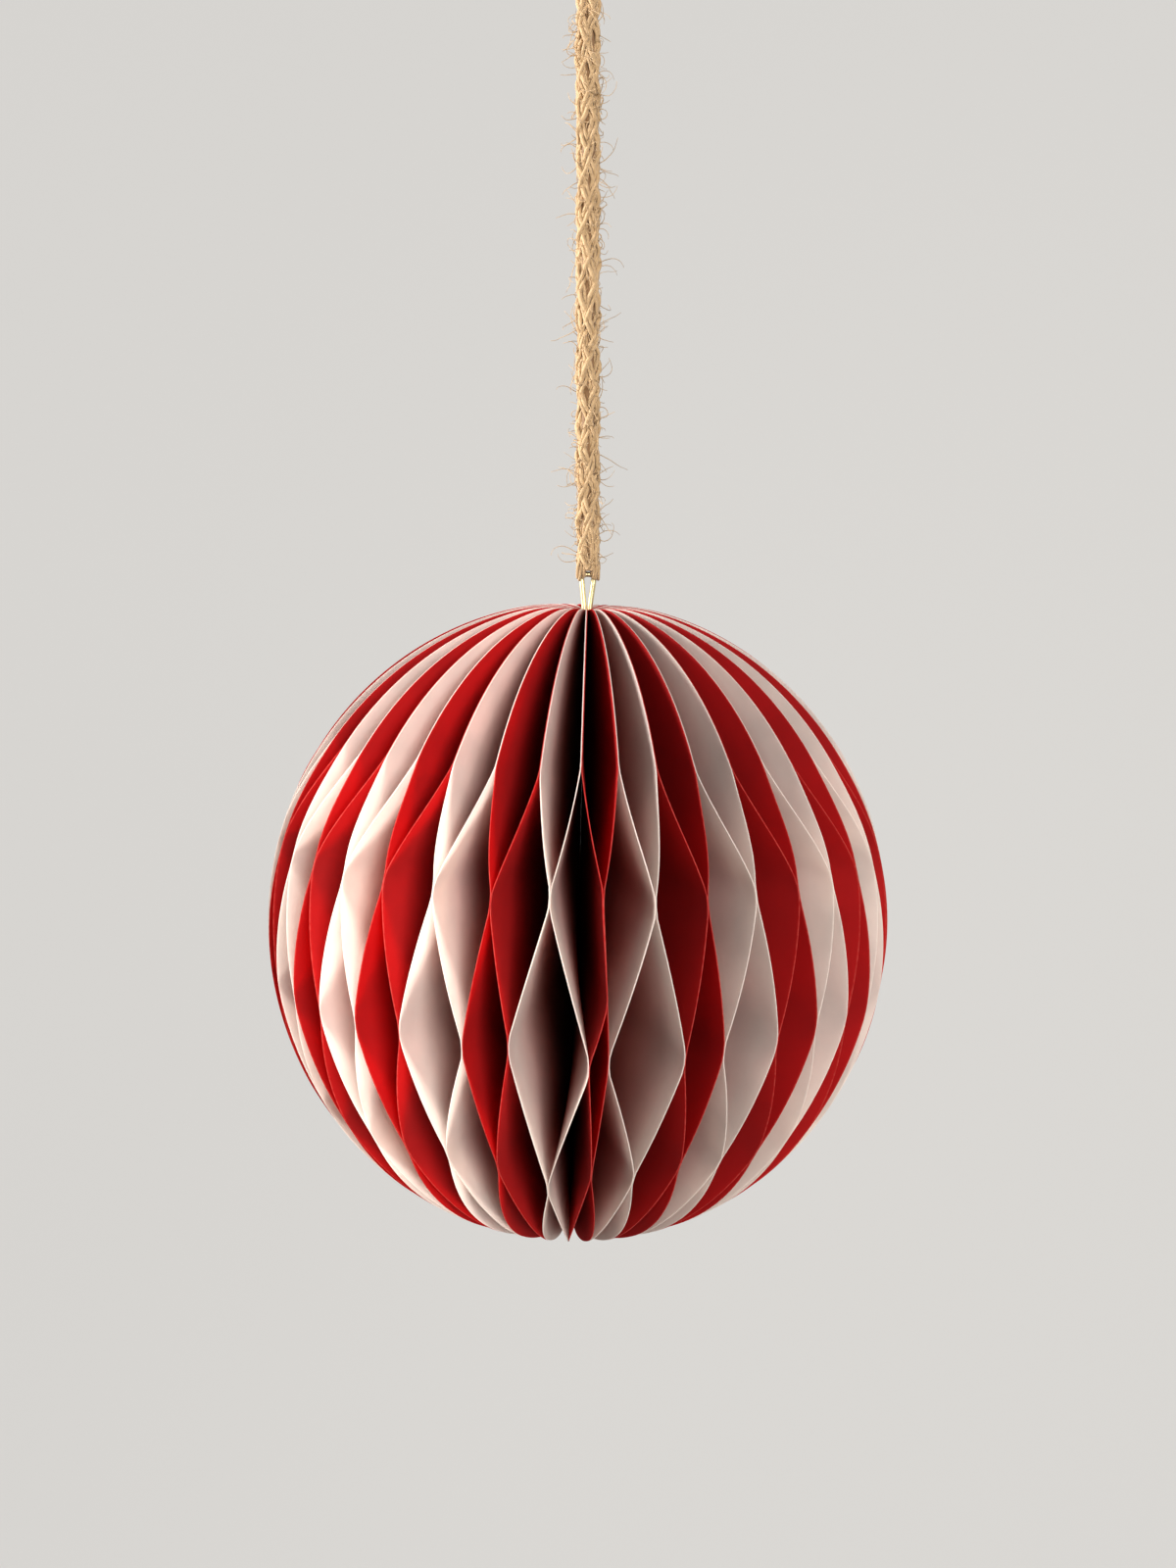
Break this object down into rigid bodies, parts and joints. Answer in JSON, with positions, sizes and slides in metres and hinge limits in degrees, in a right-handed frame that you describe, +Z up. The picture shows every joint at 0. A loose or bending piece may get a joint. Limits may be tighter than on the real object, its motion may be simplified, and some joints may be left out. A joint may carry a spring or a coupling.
{
  "type": "honeycomb paper ball ornament",
  "caption": "Hanging paper honeycomb ball of folded red and white discs glued in rows so that it opens into diamond cells, with a brass wire eye and a jute cord.",
  "frame": {"origin": "top of the knot in the cord, on the cord's axis, from which the ball hangs", "axes": "+Z up along the cord; -Y is the front that the picture shows; +X to the right seen from the front"},
  "size_m": [0.1198, 0.1198, 0.2571],
  "materials": {
    "red_paper": "matt uncoated red paper",
    "white_paper": "matt uncoated warm white paper",
    "brass_wire": "bright drawn brass wire",
    "jute": "hairy natural jute cord"
  },
  "bodies": {
    "root": {"red_disc_01": "red_paper", "white_disc_01": "white_paper", "red_disc_02": "red_paper", "white_disc_02": "white_paper", "red_disc_03": "red_paper", "white_disc_03": "white_paper", "red_disc_04": "red_paper", "white_disc_04": "white_paper", "red_disc_05": "red_paper", "white_disc_05": "white_paper", "red_disc_06": "red_paper", "white_disc_06": "white_paper", "red_disc_07": "red_paper", "white_disc_07": "white_paper", "red_disc_08": "red_paper", "white_disc_08": "white_paper", "red_disc_09": "red_paper", "white_disc_09": "white_paper", "red_disc_10": "red_paper", "white_disc_10": "white_paper", "red_disc_11": "red_paper", "white_disc_11": "white_paper", "red_disc_12": "red_paper", "white_disc_12": "white_paper", "red_disc_13": "red_paper", "white_disc_13": "white_paper", "red_disc_14": "red_paper", "white_disc_14": "white_paper", "red_disc_15": "red_paper", "white_disc_15": "white_paper", "red_disc_16": "red_paper", "white_disc_16": "white_paper", "red_disc_17": "red_paper", "white_disc_17": "white_paper", "red_disc_18": "red_paper", "white_disc_18": "white_paper", "red_disc_19": "red_paper", "white_disc_19": "white_paper", "hanger_wire": "brass_wire", "jute_cord": "jute", "cord_knot": "jute", "cord_tail": "jute"}
  },
  "joints": []
}
